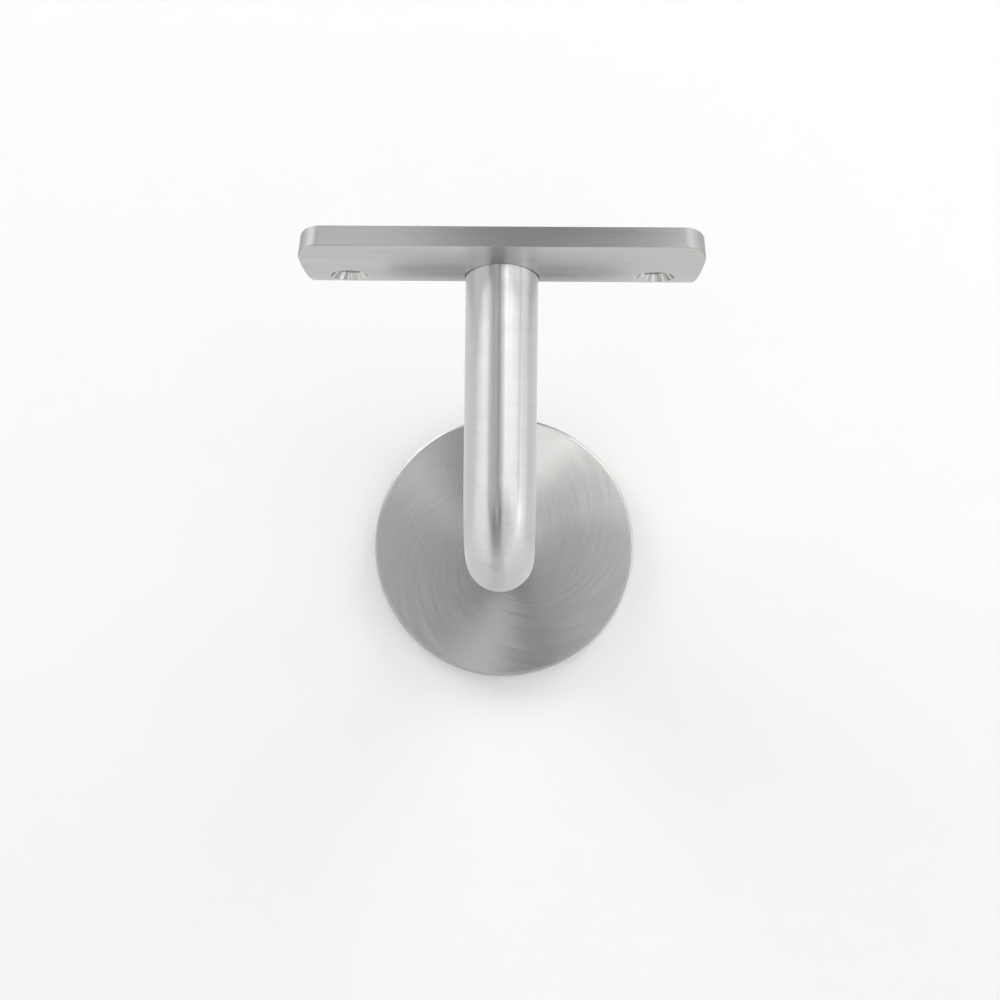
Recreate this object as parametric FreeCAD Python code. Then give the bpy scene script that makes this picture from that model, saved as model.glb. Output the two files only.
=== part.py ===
"""Wall bracket for a round handrail, in brushed stainless steel. Millimetres.

Frame: the origin is the centre of the wall flange's back face, which bears on
the wall. The wall is the plane y = 0 and the room is on its -Y side. +Z is up
and the handrail runs along X.
"""
import FreeCAD, Part
import math
import os

Vec = FreeCAD.Vector

# Arm: one round bar, level out of the wall and then bent up to the rail.
bar_d = 12.0
wall_to_axis = 72.0        # from the wall to the upright leg and the rail's centre line
bend_r = 12.0              # bend radius on the bar's centre line

# Saddle plate: flat bar bent to the rail's radius, welded on the upright leg.
rail_d = 42.4
plate_length = 64.4
plate_width = 20.0         # width of the flat bar before it is bent
plate_t = 4.0
plate_corner_r = 3.6
plate_edge_chamfer = 0.12  # the edges round the plate's two broad faces are broken by this much
plate_underside = 46.8     # lowest line of the plate above the level leg's axis
rail_screw_pitch = 50.0
rail_screw_hole_d = 4.5
rail_screw_sink_d = 6.8    # 90 degree countersink, from below

# Wall flange: turned disc welded on the level leg, behind the cover.
flange_t = 4.0
flange_lead_in = 0.4       # chamfer on the front edge, which the cover is pushed over
wall_screw_circle_d = 40.0
wall_screw_count = 3
wall_screw_hole_d = 5.5
wall_screw_sink_d = 10.0   # 90 degree countersink, from the front

# Cover rosette: drawn sheet cap, pushed along the bar and over the flange.
cover_d = 60.0
cover_depth = 6.0
cover_sheet_t = 1.2
cover_edge_r = 0.5         # outside radius between face and skirt
cover_bore_gap = 0.15      # round the bar
cover_wall_gap = 0.2       # the skirt stops short of the wall

# Welds: the bar goes through a bore whose far rim has a 45 degree groove, filled and ground flush.
bar_bore_gap = 0.15        # between bar and bore, open on the near side
weld_groove = 1.5
weld_proud = 2.0           # height of the filler before it is ground off

bar_r = bar_d / 2
seat_r = rail_d / 2
back_r = seat_r + plate_t
rail_z = plate_underside + back_r
plate_half_angle = plate_width / 2 / (seat_r + plate_t / 2)
cover_r = cover_d / 2
flange_r = cover_r - cover_sheet_t
through = 4 * plate_t      # long enough for a tool to run right through a plate


def rail_point(radius, angle, x=0.0):
    """A point round the rail's centre line; angle 0 is straight down, + is away from the wall."""
    return Vec(x, -wall_to_axis - radius * math.sin(angle), rail_z - radius * math.cos(angle))


def rail_envelope():
    """The handrail's own cylinder, which shapes everything that the rail lies on."""
    return Part.makeCylinder(seat_r, plate_length, Vec(-plate_length / 2, -wall_to_axis, rail_z), Vec(1, 0, 0))


def turned(points, origin, axis):
    """A ring or disc turned from (radius, distance along axis) points."""
    side = Vec(1, 0, 0)
    corners = [origin + side * r + axis * h for r, h in points]
    return Part.Face(Part.makePolygon(corners + corners[:1])).revolve(origin, axis, 360)


def countersunk_hole(hole_d, sink_d, mouth, inward):
    """Drill and 90 degree countersink, entered at mouth and running along inward."""
    depth = (sink_d - hole_d) / 2
    clear = sink_d / 2                      # the cone goes on outside the surface, to leave no skin
    cone = Part.makeCone(sink_d / 2 + clear, hole_d / 2, depth + clear, mouth - inward * clear, inward)
    drill = Part.makeCylinder(hole_d / 2, through, mouth, inward)
    return cone.fuse(drill)


def weld_ring(origin, inward):
    """Filler as it is laid: from the groove's root, weld_groove inward of origin, to weld_proud outside it."""
    root_r = bar_r + bar_bore_gap
    top_r = root_r + weld_groove
    return turned([(bar_r, weld_groove), (root_r, weld_groove), (top_r, 0), (top_r, -weld_proud),
                   (bar_r, -weld_proud)], origin, inward)


def bent_strip():
    """The flat bar after bending: a sector of a thick tube, with rounded corners and broken edges."""
    a = plate_half_angle
    x0 = -plate_length / 2

    def arc(radius, start, end):
        return Part.Arc(rail_point(radius, start, x0), rail_point(radius, 0, x0),
                        rail_point(radius, end, x0)).toShape()

    def radial(angle):
        return Part.makeLine(rail_point(seat_r, angle, x0), rail_point(back_r, angle, x0))

    outline = Part.Wire(Part.__sortEdges__([arc(seat_r, -a, a), radial(a), arc(back_r, a, -a), radial(-a)]))
    strip = Part.Face(outline).extrude(Vec(plate_length, 0, 0))
    corners = [e for e in strip.Edges if e.Length < 1.01 * plate_t]
    strip = strip.makeFillet(plate_corner_r, corners)
    rims = [e for e in strip.Edges if abs(e.Length - plate_t) > 0.01]
    return strip.makeChamfer(plate_edge_chamfer, rims)


def saddle_weld_as_laid():
    """Filler round the bar's upper end, standing above the seat."""
    return weld_ring(Vec(0, -wall_to_axis, rail_z - seat_r), Vec(0, 0, -1))


def saddle_plate():
    """Saddle with two countersunk screw holes and a grooved bore for the bar."""
    plate = bent_strip()
    up = Vec(0, 0, 1)
    for x in (-rail_screw_pitch / 2, rail_screw_pitch / 2):
        mouth = Vec(x, -wall_to_axis, plate_underside)
        plate = plate.cut(countersunk_hole(rail_screw_hole_d, rail_screw_sink_d, mouth, up))
    bore = Part.makeCylinder(bar_r + bar_bore_gap, rail_z, Vec(0, -wall_to_axis, 0), up)
    return plate.cut(bore).cut(saddle_weld_as_laid())


def saddle_weld():
    """Filler round the bar's upper end, ground to the seat's curve."""
    return saddle_weld_as_laid().cut(rail_envelope())


def arm():
    """Round bar from the flange's back face, out level, through the bend and up to the seat."""
    bend_start = Vec(0, -(wall_to_axis - bend_r), 0)
    centre = bend_start + Vec(0, 0, bend_r)
    half = math.radians(45)
    bend_mid = centre + Vec(0, -bend_r * math.sin(half), -bend_r * math.cos(half))
    bend_end = Vec(0, -wall_to_axis, bend_r)
    path = Part.Wire([Part.makeLine(Vec(0, 0, 0), bend_start),
                      Part.Arc(bend_start, bend_mid, bend_end).toShape(),
                      Part.makeLine(bend_end, Vec(0, -wall_to_axis, rail_z))])
    section = Part.Wire(Part.makeCircle(bar_r, Vec(0, 0, 0), Vec(0, 1, 0)))
    bar = path.makePipeShell([section], True, False)
    return bar.cut(rail_envelope())


def wall_flange():
    """Turned disc with a bore for the bar, a weld groove behind and a ring of screw holes."""
    bore = bar_r + bar_bore_gap
    away = Vec(0, -1, 0)
    disc = turned([(bore + weld_groove, 0), (flange_r, 0), (flange_r, flange_t - flange_lead_in),
                   (flange_r - flange_lead_in, flange_t), (bore, flange_t), (bore, weld_groove)],
                  Vec(0, 0, 0), away)
    for i in range(wall_screw_count):
        angle = math.radians(90 + i * 360 / wall_screw_count)
        r = wall_screw_circle_d / 2
        mouth = Vec(r * math.cos(angle), -flange_t, r * math.sin(angle))
        disc = disc.cut(countersunk_hole(wall_screw_hole_d, wall_screw_sink_d, mouth, -away))
    return disc


def flange_weld():
    """Filler round the bar's end, ground flush with the flange's back face."""
    wall_side = Part.makeCylinder(flange_r, weld_proud, Vec(0, 0, 0), Vec(0, 1, 0))
    return weld_ring(Vec(0, 0, 0), Vec(0, -1, 0)).cut(wall_side)


def cover_rosette():
    """Drawn cap: flat face with a bore for the bar, a rounded edge and a short skirt."""
    bore = bar_r + cover_bore_gap
    t = cover_sheet_t
    away = Vec(0, -1, 0)
    cap = turned([(bore, cover_depth - t), (cover_r - t, cover_depth - t), (cover_r - t, cover_wall_gap),
                  (cover_r, cover_wall_gap), (cover_r, cover_depth), (bore, cover_depth)],
                 Vec(0, 0, 0), away)
    front_edge = [e for e in cap.Edges if e.Closed and abs(e.BoundBox.YMin + cover_depth) < 0.01
                  and e.BoundBox.XMax > cover_r - 0.01]
    return cap.makeFillet(cover_edge_r, front_edge)


os.makedirs("parts", exist_ok=True)
nodes = {
    "arm": arm(),
    "saddle_plate": saddle_plate(),
    "saddle_weld": saddle_weld(),
    "wall_flange": wall_flange(),
    "flange_weld": flange_weld(),
    "cover_rosette": cover_rosette(),
}
for name, shape in nodes.items():
    if not shape.isValid() or len(shape.Solids) != 1:
        raise RuntimeError(f"{name} is not one valid solid")
    shape.exportStep(f"parts/{name}.step")
    print(f"{name}: {shape.Volume / 1000:.2f} cm3")
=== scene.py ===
import bpy
import math
from mathutils import Matrix, Vector


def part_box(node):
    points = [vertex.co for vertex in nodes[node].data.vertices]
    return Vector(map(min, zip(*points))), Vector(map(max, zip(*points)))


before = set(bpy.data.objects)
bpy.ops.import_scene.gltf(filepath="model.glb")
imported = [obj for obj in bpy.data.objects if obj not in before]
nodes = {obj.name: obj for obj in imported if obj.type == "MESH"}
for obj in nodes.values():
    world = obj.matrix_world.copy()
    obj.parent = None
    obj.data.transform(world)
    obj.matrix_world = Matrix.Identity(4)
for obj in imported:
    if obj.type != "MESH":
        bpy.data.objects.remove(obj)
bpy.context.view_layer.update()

# Arm: one round stainless bar, level out of the wall and bent up to the rail. It is belt
# ground round and round after bending, so fine scratches ring the bar and the light is
# drawn out along it.
bar_r = 0.006
bend_r = 0.012
leg_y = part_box("arm")[0].y + bar_r
bend_y = leg_y + bend_r
bend_z = bend_r
bar_steel = (0.62, 0.62, 0.615, 1.0)
belt_squeeze = 0.04    # the noise is squeezed this much along a scratch, so that the scratch is long
belt_wander = 0.08
belt_depth = 0.000006


def step(tree, kind, *inputs, **settings):
    """One node of a material. Each input is a number, a colour or another node's output, in socket order."""
    node = tree.nodes.new("ShaderNode" + kind)
    for key, value in settings.items():
        setattr(node, key, value)
    for socket, value in zip(node.inputs, inputs):
        if isinstance(value, bpy.types.NodeSocket):
            tree.links.new(value, socket)
        elif value is not None:
            socket.default_value = value
    return node


def sums(tree, operation, *inputs):
    """The answer of one Math node."""
    return step(tree, "Math", *inputs, operation=operation).outputs[0]


def vector_sums(tree, operation, first, second=None):
    """The answer of one Vector Math node."""
    if operation == "SCALE":
        return step(tree, "VectorMath", first, None, None, second, operation=operation).outputs[0]
    return step(tree, "VectorMath", first, second, operation=operation).outputs[0]


def distance(tree, a, b):
    """How far a point is from an axis, given its two offsets."""
    return sums(tree, "SQRT", sums(tree, "ADD", sums(tree, "MULTIPLY", a, a), sums(tree, "MULTIPLY", b, b)))


def point(tree, *parts):
    """Three numbers as one vector."""
    return step(tree, "CombineXYZ", *parts).outputs[0]


def where(tree):
    """A point's X, Y and Z on the object, and the way that the surface faces there."""
    apart = step(tree, "SeparateXYZ", step(tree, "TexCoord").outputs["Object"]).outputs
    return apart, step(tree, "NewGeometry").outputs["Normal"]


def blend(tree, share, first, second, kind="FLOAT"):
    """From first to second as share goes from 0 to 1. Kind is FLOAT, VECTOR or RGBA."""
    first_socket, answer = {"FLOAT": (2, 0), "VECTOR": (4, 1), "RGBA": (6, 2)}[kind]
    skipped = [None] * (first_socket - 1)
    return step(tree, "Mix", share, *skipped, first, second, data_type=kind).outputs[answer]


def noise(tree, place, size, detail=2.0):
    """Noise of about 0.3 to 0.7. Place is already drawn out along the grain, so it looks like scratches."""
    return step(tree, "TexNoise", place, None, size, detail, 0.6).outputs["Fac"]


def spread(tree, value, low, high):
    """Noise brought to low to high."""
    return step(tree, "MapRange", value, 0.3, 0.7, low, high).outputs[0]


def ground_steel(name, colour, rough, drawn_out):
    """A bare stainless finish: the material, its node tree and its metal shader."""
    material = bpy.data.materials.new(name)
    material.use_nodes = True
    tree = material.node_tree
    metal = tree.nodes["Principled BSDF"]
    metal.inputs["Base Color"].default_value = colour
    metal.inputs["Metallic"].default_value = 1.0
    metal.inputs["Roughness"].default_value = rough
    metal.inputs["Anisotropic"].default_value = drawn_out
    return material, tree, metal


def tint(tree, metal, colour, value, share):
    """The metal's colour, darker and lighter by that share along the scratches."""
    low = [c * (1 - share) for c in colour[:3]] + [1.0]
    high = [min(1.0, c * (1 + share)) for c in colour[:3]] + [1.0]
    streaked = blend(tree, spread(tree, value, 0.0, 1.0), low, high, "RGBA")
    tree.links.new(streaked, metal.inputs["Base Color"])


def cut_in(tree, metal, height, depth, facing=None):
    """Scratches of that depth, in metres."""
    bump = step(tree, "Bump")
    bump.inputs["Strength"].default_value = 1.0
    bump.inputs["Distance"].default_value = depth
    tree.links.new(height, bump.inputs["Height"])
    if facing:
        tree.links.new(facing, bump.inputs["Normal"])
    tree.links.new(bump.outputs[0], metal.inputs["Normal"])


def draw_out(tree, metal, across_grain, facing, wander):
    """The light is drawn out across the grain, which wanders a little, by that many radians."""
    aside = vector_sums(tree, "SCALE", vector_sums(tree, "CROSS_PRODUCT", across_grain, facing), wander)
    tree.links.new(vector_sums(tree, "ADD", across_grain, aside), metal.inputs["Tangent"])


arm_finish, tree, metal = ground_steel("belt_ground_bar", bar_steel, 0.32, 0.93)
apart, facing = where(tree)
past_y = sums(tree, "SUBTRACT", apart["Y"], bend_y)
past_z = sums(tree, "SUBTRACT", apart["Z"], bend_z)
in_y = sums(tree, "MINIMUM", past_y, 0.0)
in_z = sums(tree, "MINIMUM", past_z, 0.0)
back_y = sums(tree, "MULTIPLY", in_y, -1.0)
back_z = sums(tree, "MULTIPLY", in_z, -1.0)
turn = sums(tree, "ARCTAN2", back_z, back_y)
along_level_leg = sums(tree, "MULTIPLY_ADD", turn, bend_r, sums(tree, "MAXIMUM", past_y, 0.0))
along = sums(tree, "SUBTRACT", along_level_leg, sums(tree, "MAXIMUM", past_z, 0.0))
across = distance(tree, in_y, in_z)
rings = point(tree, sums(tree, "MULTIPLY", apart["X"], belt_squeeze),
              sums(tree, "MULTIPLY", across, belt_squeeze), along)
fine = noise(tree, rings, 2600.0, 3.0)
broad = noise(tree, rings, 600.0, 4.0)
axis = vector_sums(tree, "NORMALIZE", point(tree, 0.0, back_z, in_y))
draw_out(tree, metal, axis, facing, spread(tree, broad, -belt_wander, belt_wander))
tree.links.new(spread(tree, broad, 0.28, 0.36), metal.inputs["Roughness"])
tint(tree, metal, bar_steel, fine, 0.03)
cut_in(tree, metal, fine, belt_depth)
nodes["arm"].material_slots[0].material = arm_finish

# Saddle plate: stainless flat bar, bent to the rail's radius and ground lengthwise, with duller
# hand-blended corners. Its two screw holes are countersunk from below on a drill press, which
# leaves the cones smoother than the plate, with ring marks and a little chatter.
plate_steel = (0.61, 0.605, 0.595, 1.0)
screw_x = 0.025
sink_mouth_r = 0.00352
sink_rough = 0.22
chatter_lobes = 11
chatter_height = 20.0
corner_start = 0.0286
corner_rough = 0.68
lengthwise_squeeze = 0.03
plate_wander = 0.08
plate_depth = 0.000003
nudge = (0.0, 0.002, 0.0)    # so that a direction is never nothing where the grain and the face line up
plate_finish, tree, metal = ground_steel("lengthwise_ground_plate", plate_steel, 0.30, 0.85)
apart, facing = where(tree)
upright = sums(tree, "ABSOLUTE", step(tree, "SeparateXYZ", facing).outputs["Z"])
off_x = sums(tree, "SUBTRACT", apart["X"], sums(tree, "MULTIPLY", sums(tree, "SIGN", apart["X"]), screw_x))
off_y = sums(tree, "SUBTRACT", apart["Y"], leg_y)
from_hole = distance(tree, off_x, off_y)
at_hole = sums(tree, "LESS_THAN", from_hole, sink_mouth_r)
in_sink = sums(tree, "MULTIPLY", at_hole, sums(tree, "LESS_THAN", upright, 0.85))
on_side = sums(tree, "LESS_THAN", upright, 0.6)
past_start = sums(tree, "GREATER_THAN", sums(tree, "ABSOLUTE", apart["X"]), corner_start)
on_corner = sums(tree, "MULTIPLY", on_side, past_start)
round_the_side = vector_sums(tree, "CROSS_PRODUCT", (0.0, 0.0, 1.0), facing)
lengthwise = blend(tree, on_side, (1.0, 0.0, 0.0), round_the_side, "VECTOR")
round_the_hole = point(tree, sums(tree, "MULTIPLY", off_y, -1000.0),
                       sums(tree, "MULTIPLY", off_x, 1000.0), 0.0)
grain = vector_sums(tree, "NORMALIZE", blend(tree, in_sink, lengthwise, round_the_hole, "VECTOR"))
across_grain = vector_sums(tree, "ADD", vector_sums(tree, "CROSS_PRODUCT", grain, facing), nudge)
long_x = sums(tree, "MULTIPLY", apart["X"], lengthwise_squeeze)
long_y = sums(tree, "MULTIPLY", apart["Y"], blend(tree, on_side, 1.0, lengthwise_squeeze))
place = point(tree, blend(tree, in_sink, long_x, from_hole), blend(tree, in_sink, long_y, 0.0), apart["Z"])
fine = noise(tree, place, 2600.0, 3.0)
broad = noise(tree, place, 700.0, 4.0)
wander = spread(tree, broad, -plate_wander, plate_wander)
off_sink = sums(tree, "SUBTRACT", 1.0, in_sink)
draw_out(tree, metal, across_grain, facing, sums(tree, "MULTIPLY", wander, off_sink))
rough = blend(tree, on_corner, spread(tree, broad, 0.26, 0.35), corner_rough)
tree.links.new(blend(tree, in_sink, rough, sink_rough), metal.inputs["Roughness"])
tint(tree, metal, plate_steel, fine, 0.045)
round_hole = sums(tree, "ARCTAN2", off_x, off_y)
lobes = sums(tree, "COSINE", sums(tree, "MULTIPLY", round_hole, chatter_lobes))
chatter = sums(tree, "MULTIPLY", lobes, in_sink)
cut_in(tree, metal, sums(tree, "MULTIPLY_ADD", chatter, chatter_height, fine), plate_depth)
nodes["saddle_plate"].material_slots[0].material = plate_finish

# Cover rosette: a cap drawn from thin stainless sheet. Its face is spun against an abrasive
# pad that is drawn outwards, so the scratches run in steep spirals. The drawing leaves the
# face a trace crowned: it leans outward by 3 degrees at the rim. The rolled edge stays duller.
rosette_steel = (0.60, 0.595, 0.585, 1.0)
spiral = math.radians(22)
crown_lean = 1.75    # radians, for each metre from the centre
rim_start = 0.0288
rim_end = 0.0299
rim_rough = 0.42
spiral_wander = 0.045
spiral_depth = 0.0000003
seam_half_width = 0.15
rosette_finish, tree, metal = ground_steel("spiral_ground_rosette", rosette_steel, 0.27, 0.84)
apart, flat_facing = where(tree)
crown = vector_sums(tree, "SCALE", point(tree, apart["X"], 0.0, apart["Z"]), crown_lean)
facing = vector_sums(tree, "NORMALIZE", vector_sums(tree, "ADD", flat_facing, crown))
reach = distance(tree, apart["X"], apart["Z"])
outward = sums(tree, "LOGARITHM", sums(tree, "MULTIPLY", reach, 1000.0), math.e)
turn = sums(tree, "ARCTAN2", apart["Z"], apart["X"])
other_x = sums(tree, "MULTIPLY", apart["X"], -1.0)
other_z = sums(tree, "MULTIPLY", apart["Z"], -1.0)
half_turn = sums(tree, "ARCTAN2", other_z, other_x)
right_half = step(tree, "MapRange", sums(tree, "DIVIDE", apart["X"], reach), -seam_half_width,
                  seam_half_width, 0.0, 1.0, interpolation_type="SMOOTHSTEP").outputs[0]


def along_spiral(turn, stretch):
    """Where a point lies across and along the spiral scratches, given its angle round the centre.
    The lower stretch is, the longer they are."""
    over = sums(tree, "MULTIPLY_ADD", turn, -math.tan(spiral), outward)
    run = sums(tree, "MULTIPLY_ADD", outward, math.tan(spiral), turn)
    return point(tree, over, sums(tree, "MULTIPLY", run, stretch), sums(tree, "MULTIPLY", apart["Y"], 30.0))


def spiral_noise(size, detail, stretch):
    """Noise with no seam: each half of the disc uses the angle whose jump is in the other half."""
    return blend(tree, right_half, noise(tree, along_spiral(half_turn, stretch), size, detail),
                 noise(tree, along_spiral(turn, stretch), size, detail))


scratches = spiral_noise(22.0, 1.0, 0.07)
lean = sums(tree, "ADD", turn, math.pi / 2 - spiral)
groove = point(tree, sums(tree, "COSINE", lean), 0.0, sums(tree, "SINE", lean))
across_grain = vector_sums(tree, "CROSS_PRODUCT", groove, facing)
draw_out(tree, metal, across_grain, facing, spread(tree, scratches, -spiral_wander, spiral_wander))
on_rim = step(tree, "MapRange", reach, rim_start, rim_end, 0.0, 1.0).outputs[0]
rough = blend(tree, on_rim, spread(tree, scratches, 0.255, 0.27), rim_rough)
tree.links.new(rough, metal.inputs["Roughness"])
tint(tree, metal, rosette_steel, scratches, 0.03)
cut_in(tree, metal, scratches, spiral_depth, facing)
nodes["cover_rosette"].material_slots[0].material = rosette_finish

# Wall flange: a thick stainless disc, faced and drilled on a lathe, with fine rings left on it.
# The rosette covers it, so only its back shows.
flange_steel = (0.59, 0.585, 0.575, 1.0)
lathe_squeeze = 0.01
lathe_wander = 0.04
lathe_depth = 0.000008
flange_finish, tree, metal = ground_steel("faced_flange", flange_steel, 0.36, 0.85)
apart, facing = where(tree)
reach = distance(tree, apart["X"], apart["Z"])
round_the_bar = point(tree, sums(tree, "MULTIPLY", apart["Z"], -1000.0), 0.0,
                      sums(tree, "MULTIPLY", apart["X"], 1000.0))
ring_grain = vector_sums(tree, "NORMALIZE", round_the_bar)
across_grain = vector_sums(tree, "ADD", vector_sums(tree, "CROSS_PRODUCT", ring_grain, facing), nudge)
rings = point(tree, reach, sums(tree, "MULTIPLY", apart["X"], lathe_squeeze), apart["Y"])
fine = noise(tree, rings, 3000.0, 2.0)
broad = noise(tree, rings, 500.0, 3.0)
draw_out(tree, metal, across_grain, facing, spread(tree, broad, -lathe_wander, lathe_wander))
tree.links.new(spread(tree, broad, 0.32, 0.42), metal.inputs["Roughness"])
tint(tree, metal, flange_steel, fine, 0.03)
cut_in(tree, metal, fine, lathe_depth)
nodes["wall_flange"].material_slots[0].material = flange_finish

# The two welds: filler run round the bar in a groove and ground flush, one under the rail and
# one on the flange's back. The grinding crosses itself, and a faint straw heat tint is left.
weld_steel = (0.58, 0.555, 0.515, 1.0)
grinding_turn = (0.0, 0.0, 0.5)
grinding_stretch = (0.06, 1.0, 1.0)
weld_depth = 0.000008
weld_finish, tree, metal = ground_steel("flush_ground_weld", weld_steel, 0.42, 0.5)
here = step(tree, "TexCoord").outputs["Object"]
one_way = step(tree, "Mapping", here, (0.0, 0.0, 0.0), grinding_turn, grinding_stretch).outputs[0]
tree.links.new(spread(tree, noise(tree, here, 700.0), 0.38, 0.50), metal.inputs["Roughness"])
tint(tree, metal, weld_steel, noise(tree, here, 400.0), 0.06)
cut_in(tree, metal, noise(tree, one_way, 3000.0), weld_depth)
for name in ("saddle_weld", "flange_weld"):
    nodes[name].material_slots[0].material = weld_finish

# Backdrop: the pale wall that the bracket is fixed to, and a pale floor far below.
# The wall is one-sided, so that the bracket's back can be looked at through it.
wall_gap = 0.0001
floor_z = -0.3
half_size = 3
pale = (0.85, 0.85, 0.845, 1.0)
seen_tone = 0.91
even_pale = (seen_tone, seen_tone, 0.905, 1.0)
floor_evenness = 0.8


def flat_panel(name, centre, across, up):
    """One square of the backdrop, and the node tree of its paint, which starts empty."""
    corners = [centre + across * i + up * j for i, j in ((-1, -1), (1, -1), (1, 1), (-1, 1))]
    mesh = bpy.data.meshes.new(name)
    mesh.from_pydata([tuple(corner) for corner in corners], [], [(0, 1, 2, 3)])
    panel = bpy.data.objects.new(name, mesh)
    bpy.context.scene.collection.objects.link(panel)
    paint = bpy.data.materials.new(name + "_paint")
    paint.use_nodes = True
    paint.node_tree.nodes.clear()
    mesh.materials.append(paint)
    return panel, paint.node_tree


tree = flat_panel("wall_backdrop", Vector((0, wall_gap, 0)), Vector((half_size, 0, 0)),
                  Vector((0, 0, half_size)))[1]
ray = step(tree, "LightPath").outputs
matt = step(tree, "BsdfDiffuse", pale).outputs[0]
even = step(tree, "Emission", even_pale, 1.0).outputs[0]
clear = step(tree, "BsdfTransparent").outputs[0]
from_front = sums(tree, "SUBTRACT", 1.0, step(tree, "NewGeometry").outputs["Backfacing"])
seen_or_mirrored = sums(tree, "MAXIMUM", ray["Is Camera Ray"], ray["Is Glossy Ray"])
stops = sums(tree, "MULTIPLY", sums(tree, "MAXIMUM", ray["Is Shadow Ray"], seen_or_mirrored), from_front)
painted = step(tree, "MixShader", ray["Is Glossy Ray"], matt, even).outputs[0]
step(tree, "OutputMaterial", step(tree, "MixShader", stops, clear, painted).outputs[0])

floor, tree = flat_panel("floor", Vector((0, 0, floor_z)), Vector((half_size, 0, 0)),
                         Vector((0, half_size, 0)))
matt = step(tree, "BsdfDiffuse", pale).outputs[0]
even = step(tree, "Emission", even_pale, 1.0).outputs[0]
mostly_even = sums(tree, "MULTIPLY", step(tree, "LightPath").outputs["Is Camera Ray"], floor_evenness)
step(tree, "OutputMaterial", step(tree, "MixShader", mostly_even, matt, even).outputs[0])
floor.visible_glossy = False

# Room: pale to both sides, with a dark upright gap behind the camera and a dark ceiling,
# which give the ground steel its dark bands. The camera itself sees the room pale.
gap_left = math.radians(-36.6)
gap_right = math.radians(7.5)
left_softness = 0.087
right_softness = 0.07
level_softness = 0.175
overhead_start = 1.05
overhead_end = 1.26
underfoot_start = -0.98
underfoot_end = -1.26
low_tones = (1.19, 0.18, 0.80)    # left, gap and right, below the eye's level
high_tones = (0.71, 0.35, 0.35)    # the same, above it
ceiling_tone = 0.02
ground_tone = 0.91
room = bpy.data.worlds.new("room")
bpy.context.scene.world = room
room.use_nodes = True
tree = room.node_tree
tree.nodes.clear()
toward = step(tree, "SeparateXYZ", step(tree, "TexCoord").outputs["Generated"]).outputs
round_by = sums(tree, "ARCTAN2", toward["X"], sums(tree, "MULTIPLY", toward["Y"], -1.0))
up_by = sums(tree, "ARCSINE", toward["Z"])


def rising(value, start, end):
    """From 0 to 1 as an angle passes from start to end, in radians, with soft ends."""
    return step(tree, "MapRange", value, start, end, 0.0, 1.0, interpolation_type="SMOOTHSTEP").outputs[0]


past_left = rising(round_by, gap_left - left_softness, gap_left + left_softness)
past_right = rising(round_by, gap_right - right_softness, gap_right + right_softness)


def storey(left, gap, right):
    """The tone at one height, from left to right."""
    return blend(tree, past_right, blend(tree, past_left, left, gap), right)


above = rising(up_by, -level_softness, level_softness)
tone = blend(tree, above, storey(*low_tones), storey(*high_tones))
tone = blend(tree, rising(up_by, overhead_start, overhead_end), tone, ceiling_tone)
tone = blend(tree, rising(up_by, underfoot_start, underfoot_end), tone, ground_tone)
tone = blend(tree, step(tree, "LightPath").outputs["Is Camera Ray"], tone, seen_tone)
step(tree, "OutputWorld", step(tree, "Background", point(tree, tone, tone, tone), 1.0).outputs[0])

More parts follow.
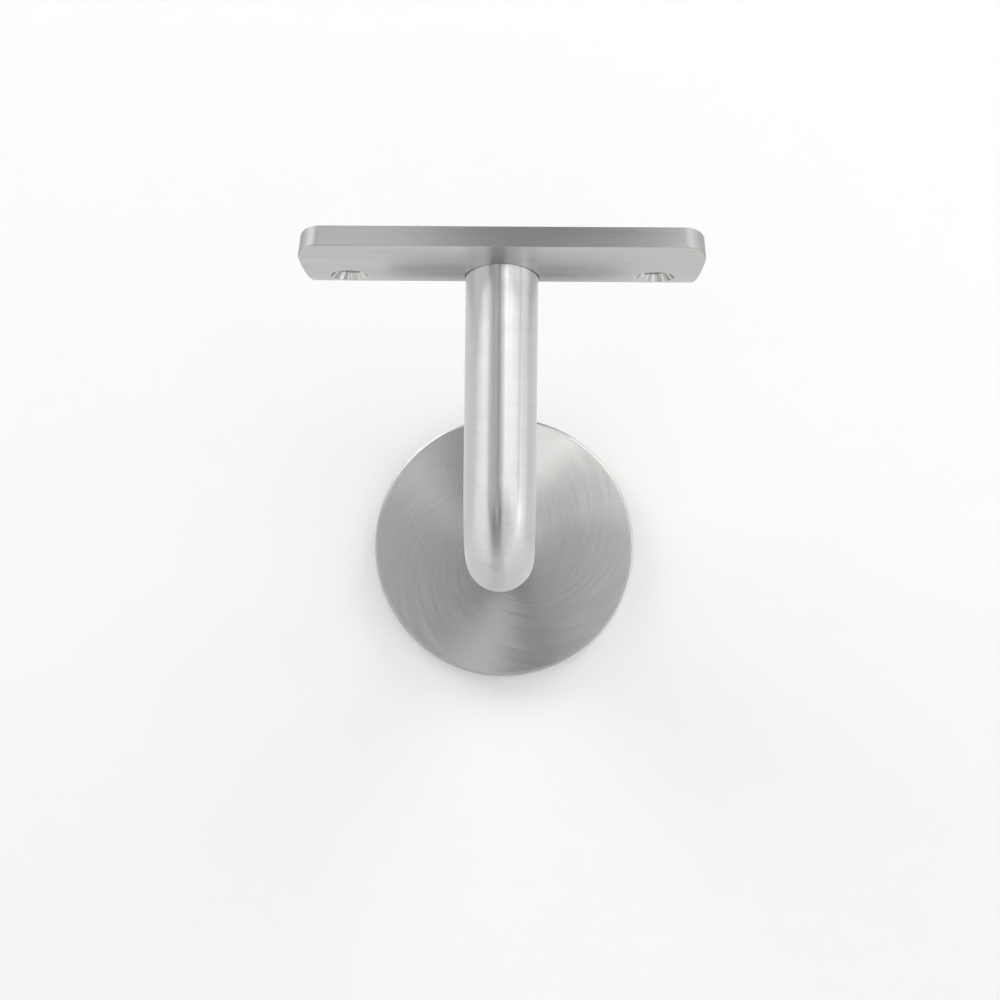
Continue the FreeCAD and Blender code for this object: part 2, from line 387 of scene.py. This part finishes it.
# Lamps: flat soft panels all round the front, 1.6 m from the bracket. Each row gives the
# degrees to the right of straight in front, the degrees up, how wide and how high it looks
# from the bracket, in degrees, and how bright its face is, where 1 is white.
lamp_distance = 1.6
lamp_aim = Vector((0, -0.04, 0.01))
lamps = {
    "far_left_upper": (-69.2, 43.0, 28.5, 37.2, 2.73),
    "left_upper": (-44.1, 39.6, 21.8, 21.6, 2.61),
    "left_lower": (-23.0, -7.3, 15.1, 23.9, 0.84),
    "left_slim": (-12.6, 9.5, 9.0, 17.1, 0.89),
    "left_overhead": (-15.8, 51.4, 8.9, 20.6, 1.51),
    "middle_lower": (-7.4, -20.7, 9.1, 15.1, 1.27),
    "middle_upper": (4.6, 19.5, 12.8, 26.2, 1.42),
    "right_small": (14.8, 22.4, 9.8, 15.0, 2.73),
    "right_tall": (24.2, 24.6, 18.8, 50.1, 1.26),
    "right_upper": (47.1, 48.9, 26.3, 28.5, 3.60),
    "right_level": (46.2, 4.1, 26.4, 40.3, 0.91),
    "far_right_lower": (68.8, -41.7, 8.9, 70.0, 1.14),
    "far_right_tall": (77.3, 5.5, 28.8, 69.7, 0.66),
}
for name, row in lamps.items():
    turn, rise, wide, high = [math.radians(degrees) for degrees in row[:4]]
    away = Vector((math.sin(turn) * math.cos(rise), -math.cos(turn) * math.cos(rise), math.sin(rise)))
    panel = bpy.data.lights.new(name, "AREA")
    panel.shape = "RECTANGLE"
    panel.size = 2 * lamp_distance * math.tan(wide / 2)
    panel.size_y = 2 * lamp_distance * math.tan(high / 2)
    panel.energy = row[4] * math.pi * panel.size * panel.size_y
    lamp = bpy.data.objects.new(name, panel)
    lamp.location = lamp_aim + away * lamp_distance
    lamp.rotation_euler = away.to_track_quat("Z", "Y").to_euler()
    lamp.visible_camera = False
    bpy.context.scene.collection.objects.link(lamp)

# Camera: almost square on, a little below the saddle.
eye = Vector((0.00276, -0.23428, 0.00785))
yaw = -0.01663
pitch = 0.0133
roll = 0.01037
forward = Vector((math.sin(yaw) * math.cos(pitch), math.cos(yaw) * math.cos(pitch), math.sin(pitch)))
level = Vector((math.cos(yaw), -math.sin(yaw), 0))
upward = level.cross(forward)
right = level * math.cos(roll) + upward * math.sin(roll)
top = upward * math.cos(roll) - level * math.sin(roll)
lens = bpy.data.cameras.new("camera")
lens.sensor_width = 36.0
lens.lens = 35.48
lens.clip_start = 0.01
lens.clip_end = 20.0
camera = bpy.data.objects.new("camera", lens)
camera.matrix_world = Matrix((right, top, -forward)).transposed().to_4x4()
camera.location = eye
bpy.context.scene.collection.objects.link(camera)
bpy.context.scene.camera = camera
bpy.context.scene.view_settings.view_transform = "Standard"
